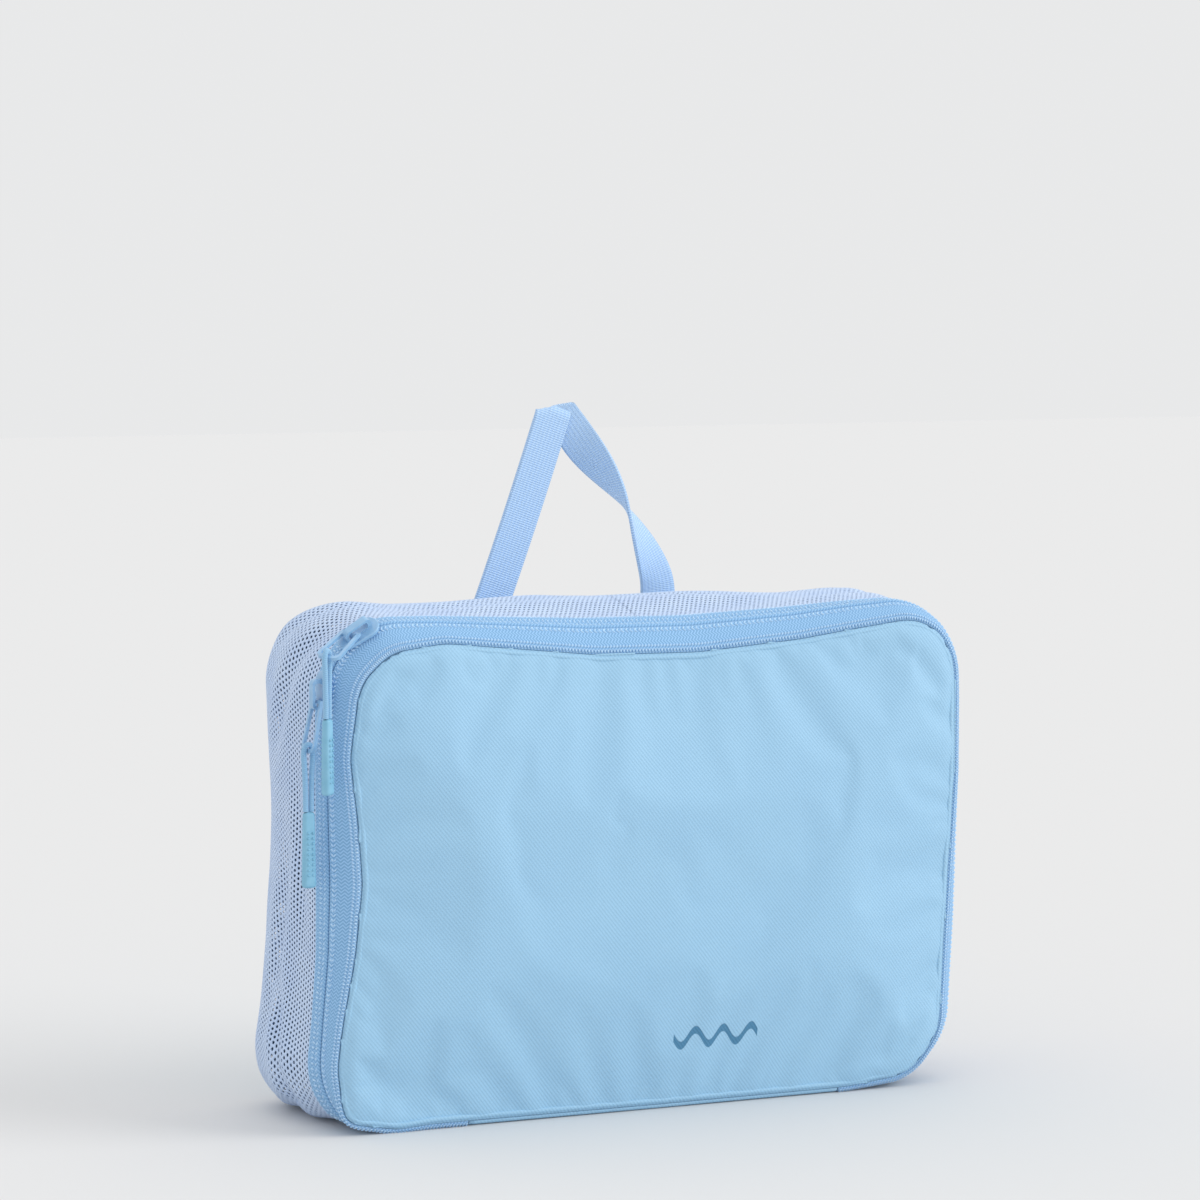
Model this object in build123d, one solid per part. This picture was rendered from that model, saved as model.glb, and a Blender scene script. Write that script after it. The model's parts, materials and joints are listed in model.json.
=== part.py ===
from build123d import *
from math import cos, radians, sin, tan
import os

os.makedirs("parts", exist_ok=True)

# A soft packing cube standing on its narrow bottom. X runs to the right, Y to the back, Z up.
# The origin is the middle of the bottom, on the surface the cube stands on. Millimetres.

# Outer size of the bag
WIDTH = 270.0
HEIGHT = 195.0
DEPTH = 84.0
CORNER = 30.0  # rounding of the outline seen from the front
FRONT_ROUND = 15.0  # rounding of the front edge, which the zip tape wraps
BACK_ROUND = 16.0
SEAM_ANGLE = 68.0  # where the seams lie on those roundings, counted from the sides

# Cloth and tape
PANEL_CLOTH = 1.0
FOAM = 3.0
LINING = 0.5
PANEL_INSET = 9.9
FOAM_INSET = 12.5
TAPE = 0.9
MESH = 0.9
BINDING = 1.7
BINDING_WIDTH = 4.0

# Zip
TRACK_ANGLE = 20.0  # the line between the two coils, on the front rounding
TRACK_HALF_GAP = 3.8  # degrees
COIL_THICKNESS = 1.7
COIL_ANGLE = 9.2  # degrees of the front rounding that one coil covers
TAPE_FLAT = 3.0
ZIP_END = 80.0  # half the length of the fabric hinge between the zip's ends
TAB_LENGTH = 8.0

# Flap
FLAP_AXIS_Z = 9.5

# Sliders, in their own directions: along the track, across it, and out from it
SLIDER_CENTRE_Z = 168.0
TOP_SLIDER_TURN = 57.0  # degrees along the top left corner
TOP_SLIDER_TILT = 12.0  # further tilt to the front
SIDE_SLIDER_TILT = -12.0
PLATE_NOSE_RADIUS = 5.0
PLATE_TAIL_RADIUS = 3.8
PLATE_NOSE_AT = 4.0
PLATE_TAIL_AT = -5.0
PLATE_LOW = 0.8
PLATE_THICKNESS = 1.4
LOWER_PLATE_LOW = -5.4
LOWER_PLATE_HIGH = -4.3
LOWER_PLATE_LENGTH = 9.0
LOWER_PLATE_WIDTH = 8.0
LOWER_PLATE_AT = -1.5
POST_LENGTH = 3.0
POST_WIDTH = 1.0
CROWN_LENGTH = 11.6
CROWN_WIDTH = 2.8
CROWN_TOP = 6.6
CROWN_AT = 0.2
WINDOW_LENGTH = 8.8
WINDOW_LOW = 2.5
WINDOW_HIGH = 5.5

# Bails: flat rings that swing on the sliders' crowns
PIVOT_ALONG = -2.6
PIVOT_HEIGHT = 4.0
BAIL_BAR = 1.3
BAIL_LENGTH = 19.6  # from the pivot's centre to the far edge
BAIL_NARROW = 7.8
BAIL_WIDE = 10.0
BAIL_FAR_BAR = 1.6
TOP_BAIL_YAW = 28.0
TOP_BAIL_LEAN = 20.0
SIDE_BAIL_LEAN = 12.0

# Pulls: a doubled cord over the bail's far bar, both ends set in a rubber grip
CORD = 2.2
CORD_ROUTE = [
    # across the bar, and down from the bar's centre
    (-1.25, 23.0),
    (-1.25, 10.0),
    (-2.4, -2.4),
    (2.4, -2.4),
    (1.25, 10.0),
    (1.25, 23.0),
]
GRIP_LENGTH = 29.0
GRIP_WIDTH = 5.5
GRIP_THICKNESS = 3.6

# Carry handle
WEBBING_WIDTH = 15.0
WEBBING_THICKNESS = 1.5
HANDLE_HALF_SPACING = 37.5
HANDLE_FOOT_Z = 185.0
HANDLE_TOP_Z = 274.0
BARTACK_HEIGHT = 3.0
BARTACK_THICKNESS = 0.8

HALF_WIDTH = WIDTH / 2
FRONT = -DEPTH / 2
BACK = DEPTH / 2
FRONT_TANGENT = FRONT + FRONT_ROUND
BACK_TANGENT = BACK - BACK_ROUND
CORNER_X = HALF_WIDTH - CORNER
CORNER_Z = HEIGHT - CORNER


def save(name, shape):
    shape = shape.clean()
    export_step(shape, f"parts/{name}.step")
    print(f"{name}: {len(shape.solids())} solids, {shape.volume:.1f} mm3")


# ---- Sections round the outline ----
# A section is drawn with its x as the distance out from the bag's widest outline, so inside the
# bag is negative, and its y as the row's Y.


def on_rounding(angle, radius, front=True):
    """A point of a section on an arc that shares its centre with the front or back rounding."""
    rounding = FRONT_ROUND if front else BACK_ROUND
    out = -rounding + radius * cos(radians(angle))
    depth = radius * sin(radians(angle))
    return (out, FRONT_TANGENT - depth) if front else (out, BACK_TANGENT + depth)


def arc_section(start, end, outer, inner, front=True):
    """A strip of cloth on the front or back rounding, between two angles and two radii."""
    middle = (start + end) / 2
    outside = [on_rounding(a, outer, front) for a in (start, middle, end)]
    inside = [on_rounding(a, inner, front) for a in (end, middle, start)]
    edges = [
        ThreePointArc(*outside),
        Line(outside[2], inside[0]),
        ThreePointArc(*inside),
        Line(inside[2], outside[0]),
    ]
    return make_face(edges)


def flat_section(outer, inner, low, high):
    """A strip of cloth between two distances out and two depths."""
    corners = [(outer, low), (outer, high), (inner, high), (inner, low)]
    return make_face(Polyline(corners + corners[:1]))


def run(section, start, out, length):
    """Carry a section in a straight line along one side of the outline."""
    plane = Plane(origin=start, x_dir=out, z_dir=Vector(*out).cross(Vector(0, 1, 0)))
    return extrude(plane * section, amount=length, dir=plane.z_dir)


def bend(section, start, out, centre):
    """Carry a section round one corner of the outline."""
    plane = Plane(origin=start, x_dir=out, z_dir=Vector(*out).cross(Vector(0, 1, 0)))
    return revolve(plane * section, axis=Axis(centre, (0, -1, 0)), revolution_arc=90)


def round_outline(section, open_bottom=False):
    """Carry a section round the whole outline, or from one zip end to the other."""
    left, right, up, down = (-1, 0, 0), (1, 0, 0), (0, 0, 1), (0, 0, -1)
    solids = [
        bend(section, (CORNER_X, 0, 0), down, (CORNER_X, 0, CORNER)),
        run(section, (HALF_WIDTH, 0, CORNER), right, HEIGHT - 2 * CORNER),
        bend(section, (HALF_WIDTH, 0, CORNER_Z), right, (CORNER_X, 0, CORNER_Z)),
        run(section, (CORNER_X, 0, HEIGHT), up, 2 * CORNER_X),
        bend(section, (-CORNER_X, 0, HEIGHT), up, (-CORNER_X, 0, CORNER_Z)),
        run(section, (-HALF_WIDTH, 0, CORNER_Z), left, HEIGHT - 2 * CORNER),
        bend(section, (-HALF_WIDTH, 0, CORNER), left, (-CORNER_X, 0, CORNER)),
    ]
    if open_bottom:
        zip_run = CORNER_X - ZIP_END
        solids.append(run(section, (ZIP_END, 0, 0), down, zip_run))
        solids.append(run(section, (-CORNER_X, 0, 0), down, zip_run))
    else:
        solids.append(run(section, (-CORNER_X, 0, 0), down, 2 * CORNER_X))
    return solids[0].fuse(*solids[1:])


def panel(inset, low, high):
    """A flat layer of the front or back panel, with the outline's shape."""
    outline = RectangleRounded(WIDTH - 2 * inset, HEIGHT - 2 * inset, CORNER - inset)
    plane = Plane(origin=(0, high, HEIGHT / 2), x_dir=(1, 0, 0), z_dir=(0, -1, 0))
    return extrude(plane * outline, amount=high - low)


# ---- Bag body: zip's rear half, mesh gusset, back panel, hinge ----

TRACK_REAR = TRACK_ANGLE - TRACK_HALF_GAP
TRACK_FRONT = TRACK_ANGLE + TRACK_HALF_GAP
TAPE_INNER = FRONT_ROUND - TAPE
COIL_OUTER = TAPE_INNER - 0.1
COIL_INNER = COIL_OUTER - COIL_THICKNESS
TAPE_BACK = FRONT_TANGENT + TAPE_FLAT

rear_tape_section = arc_section(0, TRACK_REAR, FRONT_ROUND, TAPE_INNER)
rear_tape_section += flat_section(0, -TAPE, FRONT_TANGENT, TAPE_BACK)
save("rear_zip_tape", round_outline(rear_tape_section, open_bottom=True))

rear_coil_section = arc_section(TRACK_REAR - COIL_ANGLE, TRACK_REAR, COIL_OUTER, COIL_INNER)
save("rear_zip_coil", round_outline(rear_coil_section, open_bottom=True))

gusset_section = flat_section(0, -MESH, TAPE_BACK, BACK_TANGENT)
gusset_section += arc_section(0, SEAM_ANGLE, BACK_ROUND, BACK_ROUND - MESH, front=False)
save("mesh_gusset", round_outline(gusset_section))

gusset_binding_out = -TAPE - 0.1
gusset_binding = flat_section(
    gusset_binding_out,
    gusset_binding_out - 0.8,
    TAPE_BACK - BINDING_WIDTH / 2,
    TAPE_BACK + BINDING_WIDTH / 2,
)
save("gusset_seam_binding", round_outline(gusset_binding))

save("back_panel", panel(PANEL_INSET + 0.1, BACK - PANEL_CLOTH, BACK))

back_binding_out = -PANEL_INSET - 0.9
back_binding = flat_section(
    back_binding_out,
    back_binding_out - BINDING,
    BACK - 1.3 - BINDING_WIDTH,
    BACK - 1.3,
)
save("back_seam_binding", round_outline(back_binding))

hinge_section = arc_section(0, SEAM_ANGLE - 2, FRONT_ROUND, TAPE_INNER)
hinge_section += flat_section(0, -TAPE, FRONT_TANGENT, TAPE_BACK)
hinge_half = ZIP_END - 0.5
save("hinge_strip", run(hinge_section, (-hinge_half, 0, 0), (0, 0, -1), 2 * hinge_half))

tab_section = arc_section(14, TRACK_FRONT + 12, COIL_OUTER, COIL_OUTER - 1.2)
for name, start in (("left", -hinge_half), ("right", hinge_half - TAB_LENGTH)):
    save(f"zip_end_tab_{name}", run(tab_section, (start, 0, 0), (0, 0, -1), TAB_LENGTH))


# ---- Flap: front panel layers and the zip's front half ----

FOAM_FRONT = FRONT + PANEL_CLOTH
LINING_FRONT = FOAM_FRONT + FOAM
save("front_panel", panel(PANEL_INSET, FRONT, FOAM_FRONT))
save("front_foam", panel(FOAM_INSET, FOAM_FRONT, LINING_FRONT))
save("front_lining", panel(FOAM_INSET, LINING_FRONT, LINING_FRONT + LINING))

front_tape_section = arc_section(TRACK_FRONT, SEAM_ANGLE, FRONT_ROUND, TAPE_INNER)
save("front_zip_tape", round_outline(front_tape_section, open_bottom=True))

front_coil_section = arc_section(TRACK_FRONT, TRACK_FRONT + COIL_ANGLE, COIL_OUTER, COIL_INNER)
save("front_zip_coil", round_outline(front_coil_section, open_bottom=True))

front_binding_out = -PANEL_INSET - 0.8
front_binding = flat_section(
    front_binding_out,
    front_binding_out - BINDING,
    FOAM_FRONT + 0.2,
    FOAM_FRONT + 0.2 + BINDING_WIDTH,
)
save("front_seam_binding", round_outline(front_binding))


# ---- Sliders ----


def track_plane(tilt=0.0):
    """The slider's directions where the left side's straight track starts, tilted to the front."""
    out, depth = on_rounding(TRACK_ANGLE, FRONT_ROUND)
    lean = radians(TRACK_ANGLE + tilt)
    origin = (-HALF_WIDTH - out, depth, CORNER_Z)
    return Plane(origin=origin, x_dir=(0, 0, 1), z_dir=(-cos(lean), -sin(lean), 0))


def slider_body(tilt):
    """The slider's upper plate with its crown, on a post that joins it to the lower plate."""
    plate = make_hull(
        [
            *(Pos(PLATE_NOSE_AT, 0) * Circle(PLATE_NOSE_RADIUS)).edges(),
            *(Pos(PLATE_TAIL_AT, 0) * Circle(PLATE_TAIL_RADIUS)).edges(),
        ]
    )
    upper = extrude(Pos(0, 0, PLATE_LOW) * plate, amount=PLATE_THICKNESS)
    upper = fillet(upper.edges().group_by(Axis.Z)[-1], PLATE_THICKNESS * 0.4)
    crown_low = PLATE_LOW + 0.2
    side_view = Plane(origin=(0, CROWN_WIDTH / 2, 0), x_dir=(1, 0, 0), z_dir=(0, -1, 0))
    crown_middle = (crown_low + CROWN_TOP) / 2
    crown = RectangleRounded(CROWN_LENGTH, CROWN_TOP - crown_low, 2.0)
    crown = Pos(CROWN_AT, crown_middle) * crown
    window = RectangleRounded(WINDOW_LENGTH, WINDOW_HIGH - WINDOW_LOW, 1.2)
    window = Pos(0, (WINDOW_LOW + WINDOW_HIGH) / 2) * window
    crown = extrude(side_view * (crown - window), amount=CROWN_WIDTH)
    upper = track_plane(tilt) * (upper + crown)
    post = Box(POST_LENGTH, POST_WIDTH, PLATE_LOW + 0.6 - LOWER_PLATE_HIGH + 0.3)
    post = Pos(0, 0, (PLATE_LOW + 0.6 + LOWER_PLATE_HIGH - 0.3) / 2) * post
    lower = RectangleRounded(LOWER_PLATE_LENGTH, LOWER_PLATE_WIDTH, 2.0)
    lower = Pos(LOWER_PLATE_AT, 0, LOWER_PLATE_LOW) * lower
    lower = extrude(lower, amount=LOWER_PLATE_HIGH - LOWER_PLATE_LOW)
    return upper + track_plane() * (post + lower)


def bail_plane(tilt, yaw, lean):
    """The ring's directions: along the pivot bar, and towards the far bar."""
    track = track_plane(tilt)
    along = -track.x_dir * cos(radians(yaw)) - track.y_dir * sin(radians(yaw))
    bar = track.y_dir * cos(radians(yaw)) - track.x_dir * sin(radians(yaw))
    along = along * cos(radians(lean)) + track.z_dir * sin(radians(lean))
    pivot = track.origin + track.x_dir * PIVOT_ALONG + track.z_dir * PIVOT_HEIGHT
    return Plane(origin=pivot, x_dir=bar, z_dir=bar.cross(along))


def bail(plane):
    """A flat ring, narrow at the pivot and wide at the bar that the cord hangs on."""
    near = -BAIL_BAR / 2
    outer = make_face(
        Polyline(
            (-BAIL_NARROW / 2, near),
            (BAIL_NARROW / 2, near),
            (BAIL_WIDE / 2, BAIL_LENGTH),
            (-BAIL_WIDE / 2, BAIL_LENGTH),
            close=True,
        )
    )
    inner = make_face(
        Polyline(
            (-BAIL_NARROW / 2 + BAIL_BAR, -near),
            (BAIL_NARROW / 2 - BAIL_BAR, -near),
            (BAIL_WIDE / 2 - BAIL_BAR, BAIL_LENGTH - BAIL_FAR_BAR),
            (-BAIL_WIDE / 2 + BAIL_BAR, BAIL_LENGTH - BAIL_FAR_BAR),
            close=True,
        )
    )
    far = outer.vertices().group_by(Axis.Y)[-1]
    outer = fillet(far, 3.0)
    inner = fillet(inner.vertices().group_by(Axis.Y)[-1], 1.8)
    ring = extrude(Pos(0, 0, near) * (outer - inner), amount=BAIL_BAR)
    return plane * ring


# ---- Pulls ----


def pull_plane(ring_plane):
    """Across the far bar and straight down from it, at the bar's centre."""
    down = Vector(0, 0, -1)
    across = ring_plane.x_dir.cross(down).normalized()
    centre = ring_plane.origin + ring_plane.y_dir * (BAIL_LENGTH - BAIL_FAR_BAR / 2)
    return Plane(origin=centre, x_dir=across, z_dir=across.cross(down))


def pull_cord(plane):
    """The doubled cord: two straight strands and the turn over the bar."""
    points = [plane.from_local_coords(Vector(x, y, 0)) for x, y in CORD_ROUTE]
    runs = [b - a for a, b in zip(points, points[1:])]
    turns = [a.get_angle(b) for a, b in zip(runs, runs[1:])]
    radii = []
    for before, after, turn in zip(runs, runs[1:], turns):
        radii.append(0.45 * min(before.length, after.length) / tan(radians(turn / 2)))
    path = FilletPolyline(*points, radius=radii)
    section = Plane(origin=points[0], z_dir=runs[0]) * Circle(CORD / 2)
    tube = sweep(section, path=path)
    expected = 3.14159 * CORD * CORD / 4 * path.length
    print("cord radii", [round(r, 1) for r in radii], "length", round(path.length, 1))
    print("cord volume over section times length", round(tube.volume / expected, 4))
    return tube


def pull_grip(plane):
    """A flat rubber grip with rounded ends."""
    top = CORD_ROUTE[0][1]
    grip = Box(GRIP_WIDTH, GRIP_LENGTH, GRIP_THICKNESS)
    grip = fillet(grip.edges().filter_by(Axis.Z), 2.2)
    grip = fillet(grip.edges().group_by(Axis.Z)[0] + grip.edges().group_by(Axis.Z)[-1], 1.0)
    return plane * (Pos(0, top + GRIP_LENGTH / 2 + 0.02, 0) * grip)


def slider_set(name, place, tilt, yaw, lean):
    """A slider with its bail, cord and grip, and the places of their joints."""
    ring_plane = bail_plane(tilt, yaw, lean)
    ring_plane = Plane(place * ring_plane.location)
    hang_plane = pull_plane(ring_plane)
    save(f"{name}_slider_body", place * slider_body(tilt))
    save(f"{name}_slider_bail", bail(ring_plane))
    save(f"{name}_pull_cord", pull_cord(hang_plane))
    save(f"{name}_pull_grip", pull_grip(hang_plane))
    print(name, "bail pivot", ring_plane.origin, "bar", ring_plane.x_dir)
    print(name, "pull pivot", hang_plane.origin)


side_place = Pos(0, 0, SLIDER_CENTRE_Z - CORNER_Z)
slider_set("side", side_place, SIDE_SLIDER_TILT, 0.0, SIDE_BAIL_LEAN)

corner_centre = Pos(-CORNER_X, 0, CORNER_Z)
top_place = corner_centre * Rot(0, TOP_SLIDER_TURN, 0) * corner_centre.inverse()
slider_set("top", top_place, TOP_SLIDER_TILT, TOP_BAIL_YAW, TOP_BAIL_LEAN)


# ---- Carry handle ----

handle_path = FilletPolyline(
    (-HANDLE_HALF_SPACING, HANDLE_FOOT_Z),
    (-17.0, HANDLE_TOP_Z - WEBBING_WIDTH / 2),
    (7.0, HANDLE_TOP_Z - WEBBING_WIDTH / 2),
    (HANDLE_HALF_SPACING, HANDLE_FOOT_Z),
    radius=11.0,
)
handle_face = trace(handle_path, line_width=WEBBING_WIDTH)
handle_plane = Plane(origin=(0, BACK + 0.3 + WEBBING_THICKNESS, 0), x_dir=(1, 0, 0), z_dir=(0, -1, 0))
handle = extrude(handle_plane * handle_face, amount=WEBBING_THICKNESS)
foot_cut = Pos(0, BACK, HANDLE_FOOT_Z - 10) * Box(WIDTH, 20, 20)
save("handle_webbing", handle - foot_cut)

bartacks = []
for side in (-1, 1):
    place = Pos(side * HANDLE_HALF_SPACING, BACK + BARTACK_THICKNESS / 2, HANDLE_FOOT_Z - 3.7)
    bartacks.append(place * Box(WEBBING_WIDTH, BARTACK_THICKNESS, BARTACK_HEIGHT))
save("handle_bartacks", Compound(children=bartacks))
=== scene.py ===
import json
import math
import bpy
import numpy as np
from mathutils import Matrix, Vector


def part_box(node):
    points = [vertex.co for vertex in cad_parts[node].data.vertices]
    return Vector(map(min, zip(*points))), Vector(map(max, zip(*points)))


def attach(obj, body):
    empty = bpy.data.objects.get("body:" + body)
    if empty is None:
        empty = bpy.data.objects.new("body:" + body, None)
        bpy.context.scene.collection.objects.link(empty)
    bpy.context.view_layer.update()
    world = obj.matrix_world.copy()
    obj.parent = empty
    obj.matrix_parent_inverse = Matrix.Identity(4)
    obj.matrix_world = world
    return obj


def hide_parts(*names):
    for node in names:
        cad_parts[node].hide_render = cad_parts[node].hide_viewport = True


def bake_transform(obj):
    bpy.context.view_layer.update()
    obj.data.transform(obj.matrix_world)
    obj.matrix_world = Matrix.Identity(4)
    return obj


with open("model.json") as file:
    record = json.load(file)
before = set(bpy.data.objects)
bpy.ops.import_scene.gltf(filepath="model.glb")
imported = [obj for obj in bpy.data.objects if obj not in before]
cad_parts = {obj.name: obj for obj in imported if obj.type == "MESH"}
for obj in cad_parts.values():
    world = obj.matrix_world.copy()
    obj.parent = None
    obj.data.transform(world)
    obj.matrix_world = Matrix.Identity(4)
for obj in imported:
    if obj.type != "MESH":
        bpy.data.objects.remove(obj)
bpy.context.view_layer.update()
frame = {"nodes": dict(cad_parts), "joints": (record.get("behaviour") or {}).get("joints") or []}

# ---- Studio ----
# A pale floor under an even pale surround, lit by two broad suns, so that the bag throws only
# a thin shadow where it stands.
scene = bpy.context.scene
scene.view_settings.view_transform = "Standard"
world = bpy.data.worlds.new("studio_surround")
scene.world = world
world.use_nodes = True
world.node_tree.nodes["Background"].inputs["Color"].default_value = (0.81, 0.815, 0.82, 1)
world.node_tree.nodes["Background"].inputs["Strength"].default_value = 1.0


def sun_light(name, comes_from, spread, strength):
    data = bpy.data.lights.new(name, "SUN")
    data.angle = math.radians(spread)
    data.energy = strength
    lamp = bpy.data.objects.new(name, data)
    scene.collection.objects.link(lamp)
    lamp.rotation_euler = Vector(comes_from).to_track_quat("Z", "Y").to_euler()


sun_light("key_light", (1.7, -1.0, 0.8), 40, 1.25)
sun_light("top_light", (-0.1, 0.1, 1.0), 90, 0.45)

bpy.ops.object.select_all(action="DESELECT")
bpy.ops.mesh.primitive_plane_add(size=12, location=(0, 0, 0))
floor = bpy.context.object
floor.name = "studio_floor"
floor.data.transform(floor.matrix_world)
floor.matrix_world.identity()
floor_paint = bpy.data.materials.new("studio_floor_paint")
floor_paint.use_nodes = True
floor_shader = floor_paint.node_tree.nodes["Principled BSDF"]
floor_shader.inputs["Base Color"].default_value = (0.752, 0.750, 0.748, 1)
floor_shader.inputs["Roughness"].default_value = 0.9
floor_shader.inputs["Specular IOR Level"].default_value = 0.0
floor.data.materials.append(floor_paint)

# The camera looks at the bag's front from the left and a little above.
CAMERA_AZIMUTH = math.radians(-24.6)
CAMERA_ELEVATION = math.radians(4.6)
CAMERA_DISTANCE = 1.70
CAMERA_TARGET = Vector((-0.006, 0.0, 0.197))
camera_data = bpy.data.cameras.new("camera")
camera_data.sensor_width = 36.0
camera_data.lens = 129.0
camera = bpy.data.objects.new("camera", camera_data)
scene.collection.objects.link(camera)
back = Vector((
    math.sin(CAMERA_AZIMUTH) * math.cos(CAMERA_ELEVATION),
    -math.cos(CAMERA_AZIMUTH) * math.cos(CAMERA_ELEVATION),
    math.sin(CAMERA_ELEVATION),
))
camera.location = CAMERA_TARGET + back * CAMERA_DISTANCE
camera.rotation_euler = (-back).to_track_quat("-Z", "Y").to_euler()
scene.camera = camera

# ---- Mesh gusset ----
# One band of knitted polyester mesh makes both sides, the top and the bottom. It is sewn to
# the zip's rear tape in front and to the back panel behind, and it humps up between them.
gusset_low, gusset_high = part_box("mesh_gusset")
HALF_WIDTH = gusset_high[0]
HEIGHT = gusset_high[2]
CORNER = 0.030
FRONT_ROUND = 0.015
BACK_ROUND = 0.016
SEAM_ANGLE = math.radians(68)
FRONT_TANGENT = gusset_low[1] - 0.003
BACK_TANGENT = 0.042 - BACK_ROUND
FRONT_ARC = FRONT_ROUND * SEAM_ANGLE
FLAT = BACK_TANGENT - FRONT_TANGENT
BACK_ARC = BACK_ROUND * SEAM_ANGLE
DEEP = FRONT_ARC + FLAT + BACK_ARC
GUSSET_START = FRONT_ARC + 0.003
HALF_BOTTOM = HALF_WIDTH - CORNER
SIDE = HEIGHT - 2 * CORNER
QUARTER = math.pi * CORNER / 2
AROUND = 4 * HALF_BOTTOM + 2 * SIDE + 4 * QUARTER

# Soft creases in the gusset: where each starts and ends (round the bag from the middle of the
# bottom, and back from the front seam), how deep and how wide, in millimetres.
CREASES = [
    ((128, 40), (185, 52), 1.7, 4.0),
    ((150, 62), (232, 44), 1.6, 4.5),
    ((190, 30), (262, 38), 1.2, 4.0),
    ((262, 62), (318, 30), 1.8, 5.0),
    ((300, 70), (345, 42), 1.5, 5.0),
    ((330, 34), (420, 50), 1.2, 5.0),
    ((420, 62), (520, 46), 1.2, 5.5),
    ((500, 34), (600, 52), 1.0, 5.0),
    ((610, 60), (668, 36), 1.6, 5.0),
    ((640, 32), (720, 56), 1.3, 5.0),
    ((700, 64), (770, 40), 1.2, 4.5),
    ((118, 66), (140, 36), 1.6, 4.5),
]


# How far the soft bag leaves its taut outline, by place round it from the middle of the bottom
# towards the left: the place, then the shift at the front seam, the zip, the mesh's front edge
# and the mesh's rear half, all in millimetres. Its lower left and upper right corners flare, and
# its top and left edges dip. The front seam's shifts come from measured landmarks that a
# separate program placed, rounded and adjusted. The other three were given.
EDGE_SHIFTS = [
    (0, 7.5, 0, 0, 0), (95, 7.2, 0.4, 0, 0), (118, 9.0, 2.6, 1.8, 2.0), (129, 14.0, 4.8, 5.0, 7.5),
    (140, 9.0, 4.2, 5.0, 8.0), (164, 5.8, 2.4, 2.2, 4.5), (190, 0.6, 0.0, 0.2, 1.5),
    (218, -2.5, -0.8, 0, 0),
    (240, -1.0, -0.3, 0, 0), (266, 2.2, 0, 0, 0.4), (290, -1.3, 0, 0, 1.0), (312, -3.0, 0, 0.4, 2.6),
    (334, -1.4, -0.1, 0, 0.8), (350, 0.6, -0.6, -0.3, 0), (380, -2.6, -2.6, -1.8, 0),
    (414, -6.2, -5.0, -3.4, 0), (457, -6.7, -5.4, -3.8, 0), (501, -3.3, -3.0, -2.0, 0),
    (527, 0.1, -0.4, -0.4, 0), (548, 2.6, 1.0, 0.3, 0), (568, 5.4, 2.4, 1.0, 0), (600, 6.2, 3.0, 1.4, 0),
    (630, 6.2, 3.0, 1.4, 0), (690, 2.2, 1.5, 0.8, 0), (726, 0.2, -0.6, -0.4, 0),
    (750, 0.6, -2.2, -2.0, -1.0), (773, 5.0, -0.4, 0, 0), (795, 7.3, 0, 0, 0), (879, 7.5, 0, 0, 0),
]


def smooth_table(rows, step=2.0):
    """The rows, eased into each other at even places."""
    rows = np.array(rows)
    places = np.arange(0, 880, step)
    columns = [places]
    for k in (1, 2, 3, 4):
        raw = np.interp(places, rows[:, 0], rows[:, k])
        wrapped = np.concatenate([raw[-8:], raw, raw[:8]])
        bell = np.exp(-np.linspace(-2, 2, 7) ** 2)
        columns.append(np.convolve(wrapped, bell / bell.sum(), "same")[8:-8])
    return np.stack(columns, -1)


SHAPE = smooth_table(EDGE_SHIFTS)
TO_TRACK = 0.0126
TO_MESH = 0.0208
TRACK_TO_MESH = 0.0082
MESH_TO_REAR = 0.024
FLOOR_GAP = 0.0001


def outline(around):
    """Points and outward directions, across and up, at distances round the bag."""
    turn = np.array([HALF_BOTTOM, QUARTER, SIDE, QUARTER, 2 * HALF_BOTTOM, QUARTER, SIDE, QUARTER])
    ends = np.concatenate([[0], np.cumsum(turn), [AROUND]])
    u = np.mod(np.asarray(around, float), AROUND)
    piece = np.clip(np.searchsorted(ends, u, side="right") - 1, 0, 8)
    along = u - ends[piece]
    angle = np.zeros_like(u)
    x, z = np.zeros_like(u), np.zeros_like(u)
    starts = [(0, 0), None, (-HALF_WIDTH, CORNER), None, (-HALF_BOTTOM, HEIGHT), None,
              (HALF_WIDTH, HEIGHT - CORNER), None, (HALF_BOTTOM, 0)]
    moves = [(-1, 0), None, (0, 1), None, (1, 0), None, (0, -1), None, (-1, 0)]
    facing = [270, None, 180, None, 90, None, 0, None, -90]
    centres = {1: (-HALF_BOTTOM, CORNER, 270), 3: (-HALF_BOTTOM, HEIGHT - CORNER, 180),
               5: (HALF_BOTTOM, HEIGHT - CORNER, 90), 7: (HALF_BOTTOM, CORNER, 0)}
    for k in range(9):
        m = piece == k
        if k in centres:
            cx, cz, first = centres[k]
            angle[m] = math.radians(first) - along[m] / CORNER
            x[m] = cx + CORNER * np.cos(angle[m])
            z[m] = cz + CORNER * np.sin(angle[m])
        else:
            angle[m] = math.radians(facing[k])
            x[m] = starts[k][0] + moves[k][0] * along[m]
            z[m] = starts[k][1] + moves[k][1] * along[m]
    return x, z, np.cos(angle), np.sin(angle)


waves = np.random.RandomState(11)
WAVES = [
    (waves.uniform(25, 90) * waves.choice([-1, 1]), waves.uniform(20, 110), waves.uniform(0, 6.28))
    for _ in range(14)
]


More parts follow.
